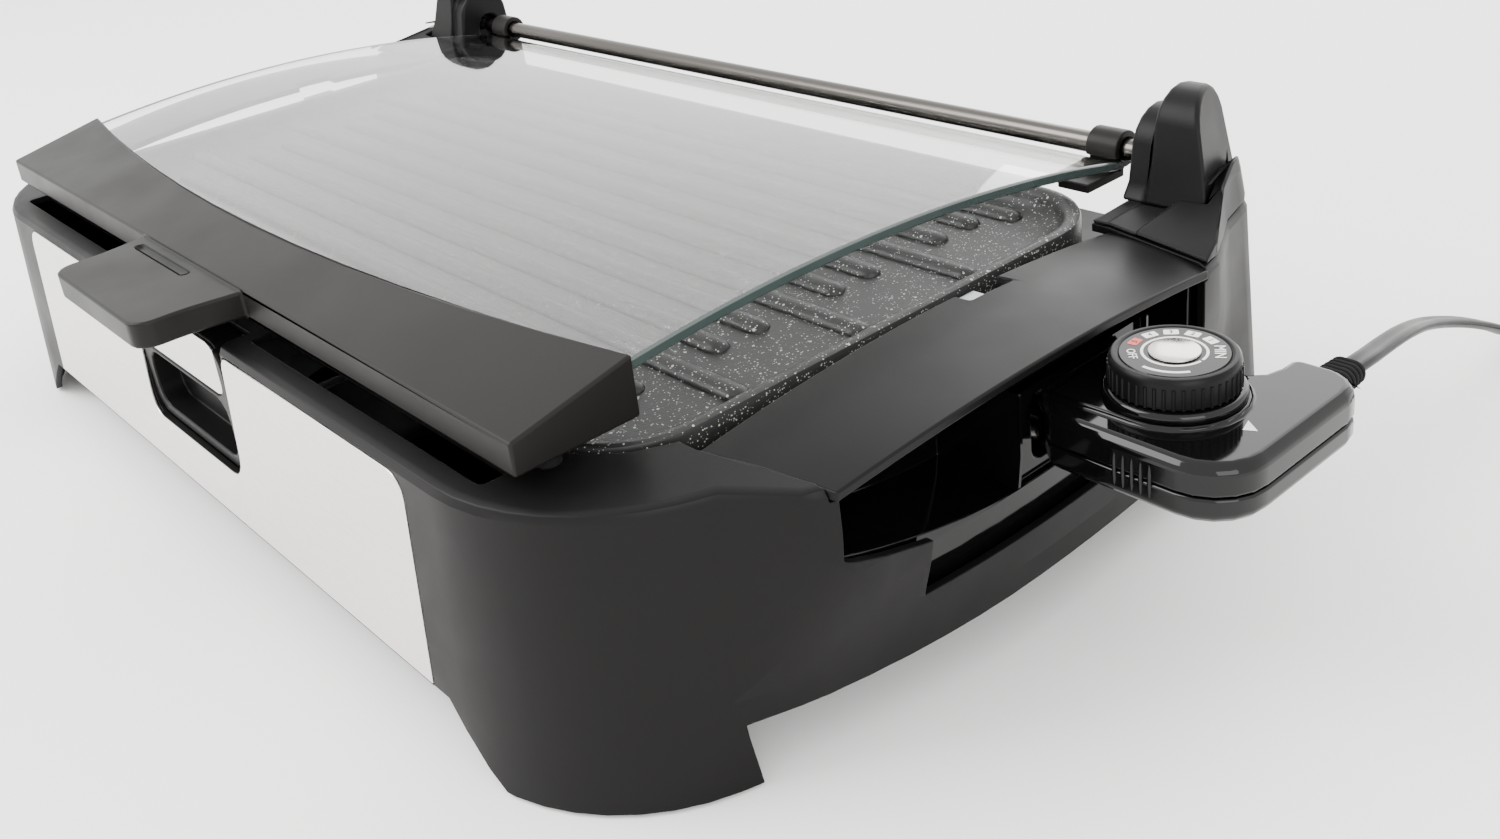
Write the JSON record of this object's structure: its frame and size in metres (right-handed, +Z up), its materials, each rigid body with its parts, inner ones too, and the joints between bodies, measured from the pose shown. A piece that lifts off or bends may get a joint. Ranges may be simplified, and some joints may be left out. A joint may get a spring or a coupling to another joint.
{
  "type": "electric griddle",
  "caption": "Countertop electric griddle with a ribbed non-stick plate, hinged glass lid with a front grip, slide-out drip tray and plug-in thermostat probe.",
  "frame": {"origin": "on the counter, under the middle of the griddle's box (the cord left out)", "axes": "+X along the length towards the end that the probe plugs into, +Y towards the back (the lid's hinge), +Z up"},
  "size_m": [0.7257, 0.5582, 0.1435],
  "materials": {
    "housing": "satin",
    "handle_cover": "satin",
    "gloss_black": "gloss",
    "lid_grip": "satin",
    "knob": "satin",
    "dial": "printed gloss",
    "plate": "granite non-stick coating on cast aluminium",
    "steel": "brushed",
    "zinc": "zinc plated",
    "reflector": "aluminised sheet",
    "sheath": "heat darkened",
    "phenolic": "moulded phenolic",
    "brass": "bare",
    "glass": "clear tempered",
    "rubber": "matte",
    "cord": "satin flexible cord jacket"
  },
  "bodies": {
    "base": {"bottom_plate": "housing", "front_panel": "steel", "front_terminal_pin": "sheath", "griddle_plate": "plate", "heat_reflector": "reflector", "heating_element": "sheath", "housing": "housing", "inlet_block": "phenolic", "left_element_bracket": "zinc", "left_front_foot_pad": "rubber", "left_handle_cover": "handle_cover", "left_handle_liner": "gloss_black", "left_hinge_cap": "housing", "left_hinge_pin": "zinc", "left_hinge_tower": "housing", "left_rear_foot_pad": "rubber", "left_tray_rail": "zinc", "rear_terminal_pin": "sheath", "right_element_bracket": "zinc", "right_front_foot_pad": "rubber", "right_handle_cover": "handle_cover", "right_handle_liner": "gloss_black", "right_hinge_cap": "housing", "right_hinge_pin": "zinc", "right_hinge_tower": "housing", "right_rear_foot_pad": "rubber", "right_tray_rail": "zinc", "sensor_sleeve": "zinc"},
    "lid": {"lid_glass": "glass", "lid_handle": "lid_grip", "lid_rear_rail": "steel", "left_lid_arm": "lid_grip", "right_lid_arm": "lid_grip", "left_lid_bumper": "rubber", "right_lid_bumper": "rubber"},
    "tray": {"drip_tray": "reflector", "tray_front": "housing", "tray_face": "steel"},
    "probe": {"probe_lower_shell": "gloss_black", "probe_upper_shell": "gloss_black", "knob_bezel": "gloss_black", "strain_relief": "gloss_black", "thermostat_frame": "zinc", "sensor_rod": "zinc", "front_contact_sleeve": "brass", "rear_contact_sleeve": "brass", "cord": "cord", "cord_coil": "cord", "plug": "cord", "left_plug_blade": "brass", "right_plug_blade": "brass"},
    "knob": {"knob": "knob", "knob_dial": "dial", "knob_cap": "steel", "knob_spindle": "zinc"},
    "left_clip": {"left_plate_clip": "zinc"},
    "right_clip": {"right_plate_clip": "zinc"}
  },
  "joints": [
    {"name": "lid_hinge", "type": "hinge", "parent": "base", "child": "lid", "pos_m": [-0.03175, 0.14838, 0.1133], "axis": [-1, 0, 0], "range_deg": [0, 100]},
    {"name": "tray_slide", "type": "slide", "parent": "base", "child": "tray", "axis": [0, -1, 0], "range_m": [0, 0.19]},
    {"name": "probe_plug", "type": "slide", "parent": "base", "child": "probe", "axis": [1, 0, 0], "range_m": [0, 0.06]},
    {"name": "knob_turn", "type": "hinge", "parent": "probe", "child": "knob", "pos_m": [0.28325, 0.03388, 0.0985], "axis": [0, 0, -1], "range_deg": [0, 270]},
    {"name": "left_clip_slide", "type": "slide", "parent": "base", "child": "left_clip", "axis": [-1, 0, 0], "range_m": [0, 0.004], "stiffness_N_per_m": 600},
    {"name": "right_clip_slide", "type": "slide", "parent": "base", "child": "right_clip", "axis": [1, 0, 0], "range_m": [0, 0.004], "stiffness_N_per_m": 600}
  ]
}
